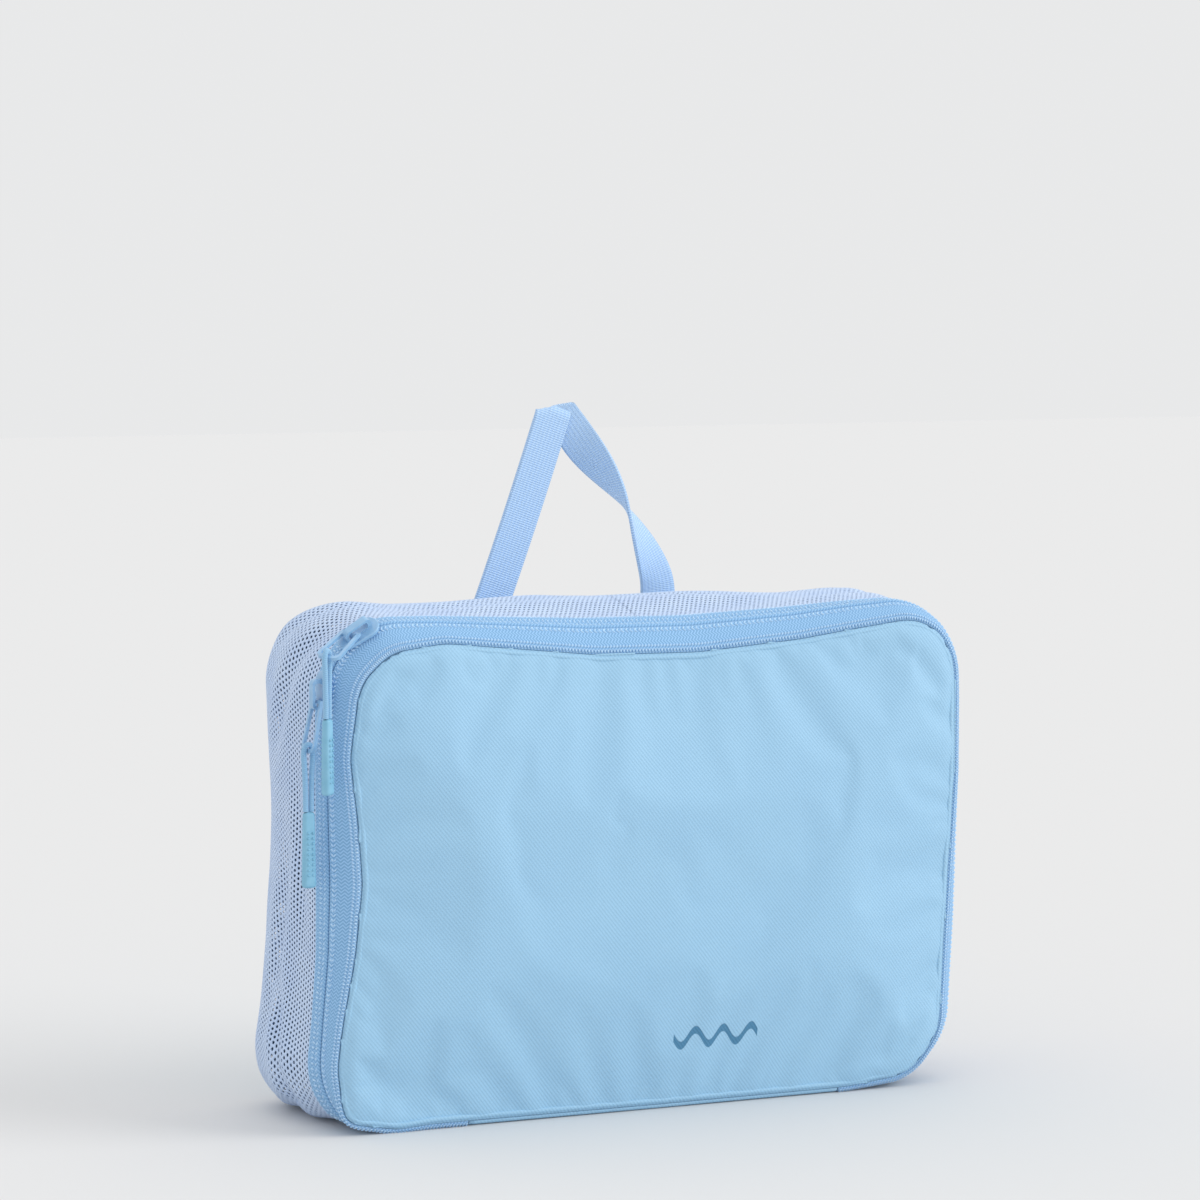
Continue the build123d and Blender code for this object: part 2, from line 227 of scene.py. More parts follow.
def slack(u, v):
    """How far the gusset stands out of its taut shape, from creases and small ripples."""
    held = np.clip((v - GUSSET_START) / 0.012, 0, 1) * np.clip((DEEP - 0.004 - v) / 0.014, 0, 1)
    held = held * held * (3 - 2 * held)
    out = np.zeros_like(u)
    for (u0, v0), (u1, v1), deep, wide in CREASES:
        du, dv = (u1 - u0) * 1e-3, (v1 - v0) * 1e-3
        t = ((u - u0 * 1e-3) * du + (v - v0 * 1e-3) * dv) / (du * du + dv * dv)
        inside = np.clip(t, 0, 1)
        off = np.hypot(u - u0 * 1e-3 - inside * du, v - v0 * 1e-3 - inside * dv)
        fade = np.sin(np.pi * np.clip(inside * 0.9 + 0.05, 0, 1))
        near = off / (wide * 1e-3)
        out += deep * 1e-3 * fade * (0.55 * np.exp(-((near - 1.7) ** 2)) - np.exp(-near * near))
    for a, b, phase in WAVES:
        out += 0.00013 * np.sin(a * u + b * v + phase)
    return out * held


def skin(around, deep, lift=0.0):
    """Points of the soft bag's outside: round it, back from the front seam, and out from it."""
    u, v = np.broadcast_arrays(np.asarray(around, float), np.asarray(deep, float))
    lift = np.broadcast_to(np.asarray(lift, float), u.shape)
    x, z, nx, nz = outline(u)
    front = v < FRONT_ARC
    rear = v > FRONT_ARC + FLAT
    angle = np.where(front, SEAM_ANGLE - v / FRONT_ROUND, 0)
    angle = np.where(rear, (v - FRONT_ARC - FLAT) / BACK_ROUND, angle)
    rounding = np.where(rear, BACK_ROUND, FRONT_ROUND)
    stands = lift + slack(np.mod(u, AROUND), v)
    out = -rounding + (rounding + stands) * np.cos(angle)
    deeper = (rounding + stands) * np.sin(angle)
    y = np.where(front, FRONT_TANGENT - deeper, FRONT_TANGENT + (v - FRONT_ARC))
    y = np.where(rear, BACK_TANGENT + deeper, y)
    side = nx * nx
    top = np.clip(nz, 0, 1) ** 2
    across = np.clip(np.abs(x) / HALF_WIDTH, 0, 1)
    upright = np.clip(np.abs(z / HEIGHT - 0.5) * 2, 0, 1)
    # the soft edge leaves the taut outline: most at the front seam, less towards the mesh
    place = np.mod(u, AROUND) * 1000
    seam, track, mesh, rear = (
        np.interp(place, SHAPE[:, 0], SHAPE[:, k]) * 0.001 for k in (1, 2, 3, 4))
    f = np.clip(v / TO_TRACK, 0, 1)
    shift = seam + (track - seam) * f * f * (3 - 2 * f)
    f = np.clip((v - TO_TRACK) / TRACK_TO_MESH, 0, 1)
    shift = shift + (mesh - track) * f * f * (3 - 2 * f)
    f = np.clip((v - TO_MESH) / MESH_TO_REAR, 0, 1)
    shift = shift + (rear - mesh) * f * f * (3 - 2 * f)
    drawn_back = np.clip(1 - (DEEP - v) / 0.03, 0, 1) ** 1.3
    bow = side * 0.0050 * (1 - upright**2) + top * 0.0045 * (1 - across**2)
    out = out + shift - bow * drawn_back
    # between its seams the gusset humps out
    between = np.sin(np.pi * np.clip((v - GUSSET_START + 0.004) / (DEEP - GUSSET_START), 0, 1))
    hump = top * (0.0024 + 0.0006 * np.cos(x / HALF_WIDTH * 4.0 + 0.9))
    hump = hump + side * 0.0026 * (1 - 0.5 * upright)
    out = out + hump * between
    points = np.stack([x + nx * out, y, z + nz * out], -1)
    points[..., 2] = np.maximum(points[..., 2], FLOOR_GAP)
    return points


def piece_from(name, points, faces, uvs=None):
    """A mesh piece from its points and faces, at the origin."""
    data = bpy.data.meshes.new(name)
    data.from_pydata(np.asarray(points).reshape(-1, 3).tolist(), [], faces)
    data.validate()
    if uvs is not None:
        layer = data.uv_layers.new(name="weave")
        corners = np.zeros(len(data.loops), int)
        data.loops.foreach_get("vertex_index", corners)
        layer.data.foreach_set("uv", np.asarray(uvs).reshape(-1, 2)[corners].ravel())
    data.polygons.foreach_set("use_smooth", [True] * len(data.polygons))
    made = bpy.data.objects.new(name + "_detail" if name in frame["nodes"] else name, data)
    scene.collection.objects.link(made)
    return made


def grid_faces(rows, columns, closed=False):
    """Quads over a grid of points, closed round its rows where asked."""
    faces = []
    last = rows if closed else rows - 1
    for i in range(last):
        for j in range(columns - 1):
            a, b = i * columns + j, ((i + 1) % rows) * columns + j
            faces.append((a, a + 1, b + 1, b))
    return faces


class Shader:
    """Builds one material's nodes, so that each finish below reads as a short recipe."""

    def __init__(self, name, rough, coords="Object"):
        self.material = bpy.data.materials.new(name)
        self.material.use_nodes = True
        self.nodes = self.material.node_tree.nodes
        self.links = self.material.node_tree.links
        self.surface = self.nodes["Principled BSDF"]
        self.surface.inputs["Roughness"].default_value = rough
        self.where = self.nodes.new("ShaderNodeTexCoord").outputs[coords]

    def link(self, a, b):
        self.links.new(a, b)

    def noise(self, scale, detail):
        node = self.nodes.new("ShaderNodeTexNoise")
        node.inputs["Scale"].default_value = scale
        node.inputs["Detail"].default_value = detail
        self.link(self.where, node.inputs["Vector"])
        return node.outputs["Fac"]

    def bands(self, scale, direction):
        node = self.nodes.new("ShaderNodeTexWave")
        node.bands_direction = direction
        node.inputs["Scale"].default_value = scale
        self.link(self.where, node.inputs["Vector"])
        return node.outputs["Fac"]

    def maths(self, kind, a, b):
        node = self.nodes.new("ShaderNodeMath")
        node.operation = kind
        for socket, value in zip(node.inputs, (a, b)):
            if isinstance(value, (int, float)):
                socket.default_value = value
            else:
                self.link(value, socket)
        return node.outputs[0]

    def ramp(self, value, stops):
        node = self.nodes.new("ShaderNodeValToRGB")
        while len(node.color_ramp.elements) < len(stops):
            node.color_ramp.elements.new(0.5)
        for element, (place, colour) in zip(node.color_ramp.elements, stops):
            element.position = place
            element.color = (*colour, 1)
        self.link(value, node.inputs["Fac"])
        return node.outputs["Color"]

    def mix(self, share, a, b):
        node = self.nodes.new("ShaderNodeMix")
        node.data_type = "RGBA"
        for socket, value in ((node.inputs[0], share), (node.inputs[6], a), (node.inputs[7], b)):
            if isinstance(value, tuple):
                socket.default_value = (*value, 1)
            elif isinstance(value, (int, float)):
                socket.default_value = value
            else:
                self.link(value, socket)
        return node.outputs[2]

    def split(self, where):
        node = self.nodes.new("ShaderNodeSeparateXYZ")
        self.link(where, node.inputs[0])
        return node.outputs

    def colour(self, socket):
        self.link(socket, self.surface.inputs["Base Color"])

    def relief(self, height, deep, strength=1.0):
        node = self.nodes.new("ShaderNodeBump")
        node.inputs["Distance"].default_value = deep
        node.inputs["Strength"].default_value = strength
        self.link(height, node.inputs["Height"])
        self.link(node.outputs["Normal"], self.surface.inputs["Normal"])

    def cloth(self, sheen=0.25, specular=0.25):
        self.surface.inputs["Sheen Weight"].default_value = sheen
        self.surface.inputs["Sheen Roughness"].default_value = 0.5
        self.surface.inputs["Specular IOR Level"].default_value = specular
        return self


mesh_cloth = Shader("mesh_cloth", 0.75, "UV").cloth(0.12, 0.2)
mesh_yarn = mesh_cloth.bands(900, "Y")
mesh_patch = mesh_cloth.noise(60, 4)
mesh_cloth.colour(mesh_cloth.mix(
    mesh_cloth.maths("MULTIPLY", mesh_patch, 0.9),
    mesh_cloth.ramp(mesh_yarn, [(0.0, (0.42, 0.56, 0.86)), (1.0, (0.58, 0.73, 0.97))]),
    (0.66, 0.79, 0.98),
))
mesh_cloth.relief(mesh_yarn, 0.00008, 0.5)

HOLE_PITCH = 0.0020
HOLE_RADIUS = 0.00062
MESH_THICK = 0.0004


def mesh_band(first, last, v_start, v_end):
    """The gusset between two of its columns of holes: points, faces and weave places."""
    rows = int(round((v_end - v_start) / (HOLE_PITCH * math.sqrt(3) / 2)))
    step_v = (v_end - v_start) / (rows - 1)
    turns = [math.radians(30 + 60 * k) for k in range(6)]
    ring = np.array([(HOLE_RADIUS * math.cos(a), HOLE_RADIUS * math.sin(a)) for a in turns])
    i, j = np.meshgrid(np.arange(first, last + 1), np.arange(rows), indexing="ij")
    cu = (i + 0.5 * (j % 2)) * (AROUND / COLUMNS)
    cv = v_start + j * step_v
    weave = np.stack([cu, cv], -1)[:, :, None, :] + ring[None, None]
    columns = last - first + 1
    ids = np.arange(columns * rows * 6).reshape(columns, rows, 6).tolist()
    faces = []
    for a in range(columns):
        for b in range(rows):
            here = ids[a][b]
            if a + 1 < columns:
                beside = ids[a + 1][b]
                faces.append((here[0], here[5], beside[3], beside[2]))
            if b + 1 == rows:
                continue
            left = a - 1 + b % 2
            right = left + 1
            if right < columns:
                above = ids[right][b + 1]
                faces.append((here[1], here[0], above[4], above[3]))
            if left >= 0:
                over = ids[left][b + 1]
                faces.append((here[2], here[1], over[5], over[4]))
            if left >= 0 and right < columns:
                faces.append((here[1], ids[right][b + 1][3], ids[left][b + 1][5]))
            if a + 1 < columns and right < columns:
                faces.append((here[0], ids[a + 1][b][2], ids[right][b + 1][4]))
    points = skin(weave[..., 0], weave[..., 1], -0.0002)
    return points, [face[::-1] for face in faces], weave


def select_only(piece):
    bpy.ops.object.select_all(action="DESELECT")
    piece.select_set(True)
    bpy.context.view_layer.objects.active = piece


def thicken(piece, thick, offset=-1):
    """Gives a sheet its thickness: inwards from its outside, or to both sides at offset 0."""
    select_only(piece)
    bpy.ops.object.modifier_add(type="SOLIDIFY")
    piece.modifiers[-1].thickness = thick
    piece.modifiers[-1].offset = offset
    bpy.ops.object.modifier_apply(modifier=piece.modifiers[-1].name)


def soften(piece):
    """Divides each face once and rounds it off."""
    select_only(piece)
    bpy.ops.object.modifier_add(type="SUBSURF")
    piece.modifiers[-1].levels = 1
    bpy.ops.object.modifier_apply(modifier=piece.modifiers[-1].name)


def weld(piece):
    """Joins the points that coincide and turns the faces outwards."""
    select_only(piece)
    bpy.ops.object.mode_set(mode="EDIT")
    bpy.ops.mesh.select_all(action="SELECT")
    bpy.ops.mesh.remove_doubles(threshold=0.000001)
    bpy.ops.mesh.normals_make_consistent(inside=False)
    bpy.ops.object.mode_set(mode="OBJECT")


def dress(piece, finish, body, node=None):
    """Gives a piece its finish and its body, and hides the CAD node that it stands for."""
    piece.data.materials.append(finish.material)
    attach(piece, body)
    if node:
        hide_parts(node)


MESH_START = FRONT_ARC + 0.0030 - 0.0008
UNDER_SHARE = 0.13
COLUMNS = int(round(AROUND / HOLE_PITCH))
SPANS = [
    ("mesh_gusset", int(COLUMNS * UNDER_SHARE), COLUMNS // 2),
    ("mesh_gusset_right", COLUMNS // 2, int(COLUMNS * 0.87)),
    ("mesh_gusset_under", int(COLUMNS * 0.87), COLUMNS + int(COLUMNS * UNDER_SHARE)),
]
for name, first, last in SPANS:
    points, faces, weave = mesh_band(first, last, MESH_START, DEEP)
    gusset = piece_from(name, points, faces, weave)
    thicken(gusset, MESH_THICK)
    dress(gusset, mesh_cloth, "bag", name if name in frame["nodes"] else None)

# ---- Zip tapes ----
# Woven polyester tape, ribbed across, in two halves: the rear half is sewn to the mesh and
# stays with the bag, the front half is sewn round the panel. They meet over a hidden coil.
TRACK = FRONT_ROUND * math.radians(48)
ZIP_START = 0.080
ZIP_LONG = AROUND - 2 * ZIP_START


def strip(name, start, end, v_rows, lift_rows, step=0.001):
    """A band of skin between two places round the bag, with a lift for each of its rows."""
    count = max(2, int(round((end - start) / step)))
    u = np.linspace(start, end, count)[:, None]
    v = np.array(v_rows)[None, :]
    points = skin(u, v, np.array(lift_rows)[None, :])
    weave = np.stack(np.broadcast_arrays(u * 1000, (v - TRACK) * 1000), -1)
    faces = [face[::-1] for face in grid_faces(count, len(v_rows))]
    return piece_from(name, points, faces, weave)


tape_cloth = Shader("zip_tape_cloth", 0.8, "UV").cloth(0.1, 0.2)
along, over, _ = tape_cloth.split(tape_cloth.where)
away = tape_cloth.maths("ABSOLUTE", over, 0)
slant = tape_cloth.maths("ADD", along, tape_cloth.maths("MULTIPLY", tape_cloth.maths(
    "ABSOLUTE", tape_cloth.maths("SUBTRACT", tape_cloth.maths("MODULO", away, 2.6), 1.3), 0), 0.9))
rib = tape_cloth.maths("ADD", tape_cloth.maths("MULTIPLY", tape_cloth.maths(
    "SINE", tape_cloth.maths("MULTIPLY", slant, 2 * math.pi / 1.35), 0), 0.5), 0.5)
edge_rows = tape_cloth.maths("LESS_THAN", tape_cloth.maths("ABSOLUTE", tape_cloth.maths(
    "SUBTRACT", tape_cloth.maths("MODULO", tape_cloth.maths("SUBTRACT", away, 8.9), 1.25), 0.62),
    0), 0.26)
near_edge = tape_cloth.maths("GREATER_THAN", away, 8.9)
dots = tape_cloth.maths("GREATER_THAN", tape_cloth.maths(
    "SINE", tape_cloth.maths("MULTIPLY", along, 2 * math.pi / 1.35), 0), 0.1)
white = tape_cloth.maths("MULTIPLY", tape_cloth.maths("MULTIPLY", edge_rows, near_edge), dots)
# the ribs' crests are lighter and their hollows darker: partly the yarn's own tone, partly painted
# highlight on the crests and painted shade in the hollows
tape_rib_tone_and_highlight = tape_cloth.ramp(rib, [(0.0, (0.20, 0.40, 0.66)), (1.0, (0.34, 0.585, 0.87))])
dotted = tape_cloth.maths("MULTIPLY", white, 0.35)
tape_cloth.colour(tape_cloth.mix(dotted, tape_rib_tone_and_highlight, (0.60, 0.80, 0.98)))
tape_cloth.relief(tape_cloth.maths("ADD", rib, white), 0.0002, 0.5)

FRONT_ROWS = [0.0, 0.0004, 0.0015, 0.003, 0.0045, 0.006, 0.0075, 0.009, 0.0103, 0.0113,
              TRACK - 0.0006, TRACK - 0.00028, TRACK - 0.00034]
FRONT_LIFT = [-0.0016, -0.0004, 0.0, 0.0001, 0.0001, 0.0, 0.0, 0.0001, 0.0002, 0.0002,
              0.0001, -0.0003, -0.0012]
rear_far = FRONT_ARC + 0.0034
REAR_ROWS = [TRACK + 0.00034, TRACK + 0.00028, TRACK + 0.0006, TRACK + 0.0013, TRACK + 0.003,
             TRACK + 0.0045, TRACK + 0.006, rear_far - 0.0006, rear_far, rear_far + 0.0001]
REAR_LIFT = [-0.0012, -0.0003, 0.0001, 0.0002, 0.0001, 0.0001, 0.0002, 0.0003, 0.0001, -0.0004]
front_tape = strip("front_zip_tape", ZIP_START, AROUND - ZIP_START, FRONT_ROWS, FRONT_LIFT)
rear_tape = strip("rear_zip_tape", ZIP_START, AROUND - ZIP_START, REAR_ROWS, REAR_LIFT)
for tape, body, node in ((front_tape, "flap", "front_zip_tape"), (rear_tape, "bag", "rear_zip_tape")):
    thicken(tape, 0.0006)
    dress(tape, tape_cloth, body, node)

# ---- Zip coils ----
# Two nylon coils, one along the hidden edge of each tape, whose turns mesh under the tapes.
# Each is a ribbed oval tube, since only its ribs can be told apart where it shows.
coil_nylon = Shader("zip_coil_nylon", 0.4)
coil_spots = coil_nylon.noise(500, 3)
coil_nylon.colour(coil_nylon.ramp(coil_spots, [(0.3, (0.10, 0.20, 0.34)), (0.7, (0.16, 0.29, 0.46))]))
coil_nylon.relief(coil_spots, 0.00005)


def coil(name, body, side):
    """A ribbed oval tube along the track, just under its tape."""
    steps = int(ZIP_LONG / 0.00045)
    u = np.linspace(ZIP_START, AROUND - ZIP_START, steps)[:, None]
    turn = np.linspace(0, 2 * math.pi, 8, endpoint=False)[None, :]
    ridge = 1 + 0.16 * np.sin(2 * math.pi * u / 0.0014)
    v = TRACK + side * 0.0013 + 0.0011 * ridge * np.cos(turn)
    lift = -0.0022 + 0.0008 * ridge * np.sin(turn)
    points = skin(u, v, lift)
    faces = []
    for i in range(steps - 1):
        for j in range(8):
            k = (j + 1) % 8
            faces.append((i * 8 + j, i * 8 + k, (i + 1) * 8 + k, (i + 1) * 8 + j))
    made = piece_from(name, points, faces)
    dress(made, coil_nylon, body, name)


coil("front_zip_coil", "flap", -1)
coil("rear_zip_coil", "bag", 1)

# ---- Stitching ----
# Rows of lockstitch in pale blue thread: one each side of the coil, and one that joins the
# rear tape to the mesh. Each stitch is a short plump dash that dips at both ends.
thread = Shader("thread_polyester", 0.55).cloth(0.2, 0.3)
thread_tone = thread.noise(900, 2)
thread.colour(thread.ramp(thread_tone, [(0.3, (0.40, 0.63, 0.90)), (0.7, (0.55, 0.77, 0.98))]))
thread.relief(thread_tone, 0.00004)


def stitches(name, body, places, long, wide, tall):
    """Plump dashes: each place is a centre, a direction along and the direction outwards."""
    section = [(-1, 0.0), (-0.62, 0.75), (0, 1.0), (0.62, 0.75), (1, 0.0)]
    runs = [(-0.5, 0.15), (-0.34, 0.8), (0.0, 1.0), (0.34, 0.8), (0.5, 0.15)]
    points, faces = [], []
    for centre, direction, outward in places:
        across = np.cross(direction, outward)
        base = len(points)
        for s, full in runs:
            for w, h in section:
                points.append(centre + direction * (s * long) + across * (w * wide / 2 * full)
                              + outward * ((h * full - 0.35) * tall))
        for i in range(4):
            for j in range(4):
                a = base + i * 5 + j
                faces.append((a, a + 5, a + 6, a + 1))
    made = piece_from(name, points, faces)
    dress(made, thread, body)
    return made


INWARDS = 0.020


def row_places(v, lift, pitch, slant):
    """Places for a row of stitches round the bag at one depth of the skin."""
    u = np.arange(ZIP_START + pitch / 2, AROUND - ZIP_START, pitch)
    centre = skin(u, np.full_like(u, v), np.full_like(u, lift))
    ahead = skin(u + 0.0003, np.full_like(u, v + 0.0003 * slant), np.full_like(u, lift))
    inner = skin(u, np.full_like(u, v), np.full_like(u, lift - INWARDS))
    direction = ahead - centre
    direction /= np.linalg.norm(direction, axis=1)[:, None]
    outward = centre - inner
    outward -= direction * np.sum(outward * direction, axis=1)[:, None]
    outward /= np.linalg.norm(outward, axis=1)[:, None]
    return list(zip(centre, direction, outward))


for name, body, v, pitch, slant, long, wide in (
    ("front_tape_stitches", "flap", TRACK - 0.0021, 0.0019, 0.9, 0.0016, 0.0007),
    ("front_tape_chevrons", "flap", TRACK - 0.0031, 0.0019, -0.9, 0.0014, 0.0006),
    ("front_edge_loops", "flap", 0.0013, 0.00135, 7.0, 0.0013, 0.0007),
    ("front_edge_stitches", "flap", 0.0030, 0.00135, 3.0, 0.0012, 0.0006),
    ("rear_tape_stitches", "bag", TRACK + 0.0021, 0.0019, -0.9, 0.0016, 0.0007),
    ("rear_tape_ribs", "bag", TRACK + 0.0046, 0.0019, 6.0, 0.0021, 0.0008),
    ("gusset_stitches", "bag", rear_far - 0.0008, 0.0019, 0.0, 0.0015, 0.0006),
):
    stitches(name, body, row_places(v, 0.0003, pitch, slant), long, wide, 0.0005)

# ---- Front panel ----
# Coated twill over thin foam, cut a little full, so that it swells forward from its seam and
# puckers where the sewing gathers it.
panel_cloth = Shader("panel_coated_twill", 0.52).cloth(0.08, 0.35)
at = panel_cloth.split(panel_cloth.where)
weft = panel_cloth.maths("SINE", panel_cloth.maths("MULTIPLY", panel_cloth.maths(
    "ADD", at[0], panel_cloth.maths("MULTIPLY", at[2], 0.8)), 2 * math.pi / 0.0015), 0)
warp = panel_cloth.maths("SINE", panel_cloth.maths("MULTIPLY", panel_cloth.maths(
    "SUBTRACT", at[0], panel_cloth.maths("MULTIPLY", at[2], 1.3)), 2 * math.pi / 0.0019), 0)
twill = panel_cloth.maths("ADD", weft, panel_cloth.maths("MULTIPLY", warp, 0.8))
cloudy = panel_cloth.noise(22, 4)
panel_blue = panel_cloth.ramp(cloudy, [(0.3, (0.335, 0.578, 0.79)), (0.7, (0.355, 0.605, 0.815))])
shaded = panel_cloth.mix(panel_cloth.maths("MULTIPLY", panel_cloth.maths("ADD", twill, 1.8), 0.05),
                         panel_blue, (0.26, 0.50, 0.74))
# a debossed wavy line, in place of a label
MARK_X, MARK_Z = 0.0225, 0.0285
wave = panel_cloth.maths("MULTIPLY", panel_cloth.maths("SINE", panel_cloth.maths(
    "MULTIPLY", panel_cloth.maths("SUBTRACT", at[0], MARK_X), 2 * math.pi / 0.0122), 0), 0.0030)
off = panel_cloth.maths("ABSOLUTE", panel_cloth.maths("SUBTRACT", panel_cloth.maths(
    "SUBTRACT", at[2], MARK_Z), wave), 0)
inside = panel_cloth.maths("LESS_THAN", panel_cloth.maths("ABSOLUTE", panel_cloth.maths(
    "SUBTRACT", at[0], MARK_X), 0), 0.0185)
facing = panel_cloth.maths("LESS_THAN", at[1], -0.03)
line = panel_cloth.nodes.new("ShaderNodeMapRange")
line.interpolation_type = "SMOOTHSTEP"
line.inputs["From Min"].default_value = 0.0019
line.inputs["From Max"].default_value = 0.0013
panel_cloth.link(off, line.inputs["Value"])
mark = panel_cloth.maths("MULTIPLY", panel_cloth.maths("MULTIPLY", line.outputs[0], inside), facing)
panel_cloth.colour(panel_cloth.mix(mark, shaded, (0.075, 0.235, 0.40)))
pressed_in = panel_cloth.maths("MULTIPLY", mark, 5.0)
panel_cloth.relief(panel_cloth.maths("SUBTRACT", twill, pressed_in), 0.00005, 0.8)


def panel_sheet(v, inset, cell, front=True):
    """A flat grid of cloth cut to the seam: points, faces, which points are on the seam, and
    how far each is from it."""
    u = np.linspace(0, AROUND, 900, endpoint=False)
    loop = skin(u, np.full(900, v), np.full(900, -inset))
    border = loop[:, [0, 2]]
    ahead = np.roll(border, -1, axis=0)
    step = ahead - border
    xs = np.arange(-HALF_WIDTH - cell, HALF_WIDTH + 2 * cell, cell)
    zs = np.arange(-cell, HEIGHT + 2 * cell, cell)
    gx, gz = np.meshgrid(xs, zs, indexing="ij")
    flat = np.stack([gx.ravel(), gz.ravel()], -1)
    best = np.full(len(flat), 1e9)
    nearest = np.zeros_like(flat)
    crossings = np.zeros(len(flat), int)
    for p, q, d in zip(border, ahead, step):
        t = np.clip(((flat - p) @ d) / (d @ d), 0, 1)
        close = p + t[:, None] * d
        far = np.hypot(*(flat - close).T)
        better = far < best
        best[better] = far[better]
        nearest[better] = close[better]
        spans = (p[1] > flat[:, 1]) != (q[1] > flat[:, 1])
        slope = (flat[:, 1] - p[1]) / (q[1] - p[1] if q[1] != p[1] else 1e-12)
        crossings += spans & (flat[:, 0] < p[0] + slope * d[0])
    within = crossings % 2 == 1
    keep = within | (best < 0.75 * cell)
    snapped = keep & (~within | (best < 0.45 * cell))
    flat[snapped] = nearest[snapped]
    index = np.full(len(flat), -1)
    index[keep] = np.arange(keep.sum())
    rows, columns = gx.shape
    faces = []
    for i in range(rows - 1):
        for j in range(columns - 1):
            a, b, c, d = (index[k] for k in (i * columns + j, (i + 1) * columns + j,
                                              (i + 1) * columns + j + 1, i * columns + j + 1))
            if min(a, b, c, d) >= 0:
                faces.append((a, b, c, d) if front else (d, c, b, a))
    y = float(loop[:, 1].mean())
    points = np.column_stack([flat[keep, 0], np.full(keep.sum(), y), flat[keep, 1]])
    return points, [tuple(int(n) for n in face) for face in faces], snapped[keep], best[keep]


def swell(points, edge_far, full, reach):
    """How far a padded panel stands out: rising steeply from the seam, then nearly flat."""
    across = np.clip(np.abs(points[:, 0]) / HALF_WIDTH, 0, 1)
    upright = np.clip(np.abs(points[:, 2] / HEIGHT - 0.5) * 2, 0, 1)
    rise = 1 - np.exp(-edge_far / reach)
    return full * rise * (0.55 + 0.45 * (1 - across**2) * (1 - upright**2))


SETTLED_FRAME = 25
points, faces, on_seam, edge_far = panel_sheet(0.0000, 0.0004, 0.0019)
points[:, 1] -= swell(points, edge_far, 0.0068, 0.009)
front_panel = piece_from("front_panel", points, faces)
select_only(front_panel)
seam_group = front_panel.vertex_groups.new(name="seam")
seam_group.add([int(n) for n in np.nonzero(on_seam)[0]], 1.0, "REPLACE")
bpy.ops.object.modifier_add(type="CLOTH")
cloth = front_panel.modifiers[-1]
cloth.settings.quality = 5
cloth.settings.mass = 0.2
cloth.settings.tension_stiffness = 25
cloth.settings.compression_stiffness = 25
cloth.settings.shear_stiffness = 10
cloth.settings.bending_stiffness = 4.5
cloth.settings.vertex_group_mass = "seam"
cloth.settings.shrink_min = -0.006
cloth.settings.use_pressure = True
cloth.settings.uniform_pressure_force = 0.6
cloth.settings.effector_weights.gravity = 0
cloth.collision_settings.use_collision = False
cloth.point_cache.frame_start = 1
cloth.point_cache.frame_end = 30
for step in range(1, SETTLED_FRAME + 1):
    scene.frame_set(step)
select_only(front_panel)
bpy.ops.object.modifier_apply(modifier=cloth.name)
scene.frame_set(1)
soften(front_panel)
thicken(front_panel, 0.0007)
dress(front_panel, panel_cloth, "flap", "front_panel")

# The panel's cloth rolls over at its seam, as a soft narrow edge beside the tape.
roll_turn = np.linspace(0, 2 * math.pi, 10, endpoint=False)
roll_u = np.linspace(0, AROUND, 700, endpoint=False)[:, None]
roll_v = np.append(-0.0015 + 0.0012 * np.cos(roll_turn), -0.0003)[None, :]
roll_lift = np.append(-0.0010 + 0.0010 * np.sin(roll_turn), -0.0010)[None, :]
points = skin(roll_u, roll_v, roll_lift)
points[..., 2] = np.maximum(points[..., 2], 0.0006)
roll = piece_from("front_panel_edge", points, [face[::-1] for face in grid_faces(700, 11, closed=True)])
weld(roll)
dress(roll, panel_cloth, "flap")

# ---- Foam and lining ----
# A thin sheet of foam stiffens the front panel, and a light lining closes it inside. Both
# swell forward as the panel does, but less.
foam_soft = Shader("foam_polyurethane", 0.95)
foam_pores = foam_soft.noise(1500, 3)
foam_soft.colour(foam_soft.ramp(foam_pores, [(0.35, (0.60, 0.60, 0.56)), (0.65, (0.82, 0.82, 0.78))]))
foam_soft.relief(foam_pores, 0.0003)
lining_cloth = Shader("lining_polyester", 0.6).cloth(0.3, 0.3)
lining_weave = lining_cloth.bands(420, "X")
lining_cloth.colour(lining_cloth.ramp(lining_weave, [(0.0, (0.33, 0.47, 0.62)), (1.0, (0.42, 0.57, 0.73))]))
lining_cloth.relief(lining_weave, 0.0001, 0.6)
for name, depth, inset, thick, finish, slot in (
    ("front_foam", 0.0004, 0.0034, 0.0028, foam_soft, "foam"),
    ("front_lining", 0.0040, 0.0024, 0.0004, lining_cloth, "lining"),
):
    points, faces, on_seam, edge_far = panel_sheet(0.0002, inset, 0.004)
    points[:, 1] += depth - swell(points, edge_far, 0.0030, 0.012)
    layer = piece_from(name, points, faces)
    thicken(layer, thick)
    dress(layer, finish, "flap", name)

# ---- Back panel ----
# The same coated twill as the front, in one layer. It is sewn round its edge to the mesh
# gusset and swells a little backwards.
points, faces, on_seam, edge_far = panel_sheet(DEEP, 0.0004, 0.003, False)
points[:, 1] += swell(points, edge_far, 0.0035, 0.015)
back_panel = piece_from("back_panel", points, faces)
soften(back_panel)
thicken(back_panel, 0.0006)
dress(back_panel, panel_cloth, "bag", "back_panel")
